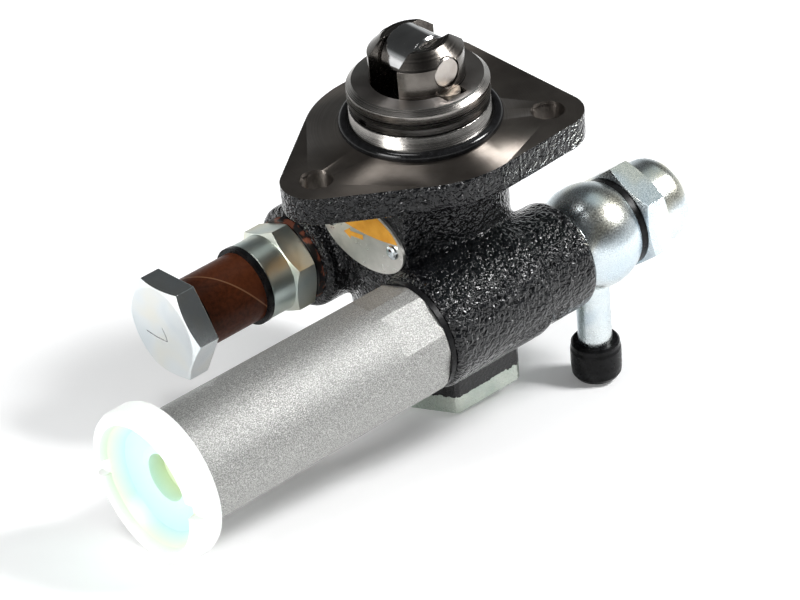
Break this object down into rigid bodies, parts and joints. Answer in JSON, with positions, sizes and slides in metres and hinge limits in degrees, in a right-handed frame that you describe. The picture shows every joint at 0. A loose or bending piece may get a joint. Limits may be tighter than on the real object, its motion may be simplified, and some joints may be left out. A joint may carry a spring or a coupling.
{
  "type": "fuel feed pump with hand primer",
  "caption": "Flange-mounted plunger fuel feed pump with roller tappet, screw-down hand primer, ball union with capped pipe stub, and an outlet fitting closed for transport.",
  "frame": {"origin": "centre of the flange's mounting face, on the tappet's axis", "axes": "+Z out of the mounting face along the tappet, -X along the hand primer to its knob, +X to the inlet union"},
  "size_m": [0.1789, 0.0855, 0.112],
  "materials": {
    "black_paint": "gloss wrinkle paint",
    "ground_steel": "ground bright",
    "dark_steel": "machined",
    "zinc": "blue-white zinc plate",
    "cast_aluminium": "sand cast",
    "nylon": "natural nylon",
    "rubber": "matt black",
    "phenolic": "brown laminate",
    "copper": "copper",
    "plate": "printed aluminium",
    "spring_steel": "spring wire",
    "gauze": "woven gauze"
  },
  "bodies": {
    "housing": {"pump_housing": "black_paint", "retaining_ring": "spring_steel", "flange_o_ring": "rubber", "tappet_spring": "spring_steel", "piston_spring": "spring_steel", "bottom_plug": "zinc", "plug_seal": "copper", "name_plate": "plate", "plate_rivets": "zinc", "primer_barrel": "cast_aluminium", "barrel_washer": "rubber", "barrel_bush": "dark_steel", "rod_seal": "rubber", "inlet_valve_spring": "spring_steel", "outlet_valve_spring": "spring_steel", "union_ball": "zinc", "inner_gasket": "copper", "outer_gasket": "rubber", "union_bolt": "zinc", "inlet_strainer": "gauze", "inlet_pipe": "zinc", "pipe_cap": "rubber", "outlet_washer": "copper", "outlet_adapter": "zinc", "seal_washer": "rubber", "spacer_tube": "phenolic", "bolt_washer": "rubber", "outlet_bolt": "zinc"},
    "tappet": {"tappet_body": "ground_steel", "roller_pin": "ground_steel", "guide_key": "dark_steel"},
    "roller": {"roller": "ground_steel"},
    "push_rod": {"push_rod": "ground_steel"},
    "piston": {"piston": "dark_steel"},
    "primer_plunger": {"primer_piston": "dark_steel", "primer_seal": "rubber"},
    "primer_handle": {"primer_rod": "ground_steel", "primer_knob": "nylon"},
    "inlet_valve": {"inlet_valve": "nylon"},
    "outlet_valve": {"outlet_valve": "nylon"}
  },
  "joints": [
    {"name": "tappet_slide", "type": "slide", "parent": "housing", "child": "tappet", "axis": [0, 0, -1], "range_m": [0, 0.006], "stiffness_N_per_m": 2500, "springref_m": -0.008, "deforming": ["tappet_spring"]},
    {"name": "roller_spin", "type": "hinge", "parent": "tappet", "child": "roller", "pos_m": [0, 0, 0.0192], "axis": [0, 1, 0], "continuous": true},
    {"name": "push_rod_slide", "type": "slide", "parent": "housing", "child": "push_rod", "axis": [0, 0, -1], "range_m": [0, 0.006]},
    {"name": "piston_slide", "type": "slide", "parent": "housing", "child": "piston", "axis": [0, 0, -1], "range_m": [0, 0.006], "deforming": ["piston_spring"]},
    {"name": "primer_pull", "type": "slide", "parent": "housing", "child": "primer_plunger", "axis": [-1, 0, 0], "range_m": [0, 0.022]},
    {"name": "primer_turn", "type": "hinge", "parent": "primer_plunger", "child": "primer_handle", "pos_m": [-0.08, -0.025, -0.0409], "axis": [-1, 0, 0], "continuous": true},
    {"name": "inlet_valve_lift", "type": "slide", "parent": "housing", "child": "inlet_valve", "axis": [-1, 0, 0], "range_m": [0, 0.002], "stiffness_N_per_m": 200, "springref_m": -0.004, "deforming": ["inlet_valve_spring"]},
    {"name": "outlet_valve_lift", "type": "slide", "parent": "housing", "child": "outlet_valve", "axis": [-1, 0, 0], "range_m": [0, 0.002], "stiffness_N_per_m": 200, "springref_m": -0.004, "deforming": ["outlet_valve_spring"]}
  ],
  "couplings": [
    {"joint": "push_rod_slide", "follows": "tappet_slide", "ratio": 1},
    {"joint": "piston_slide", "follows": "tappet_slide", "ratio": 1}
  ]
}
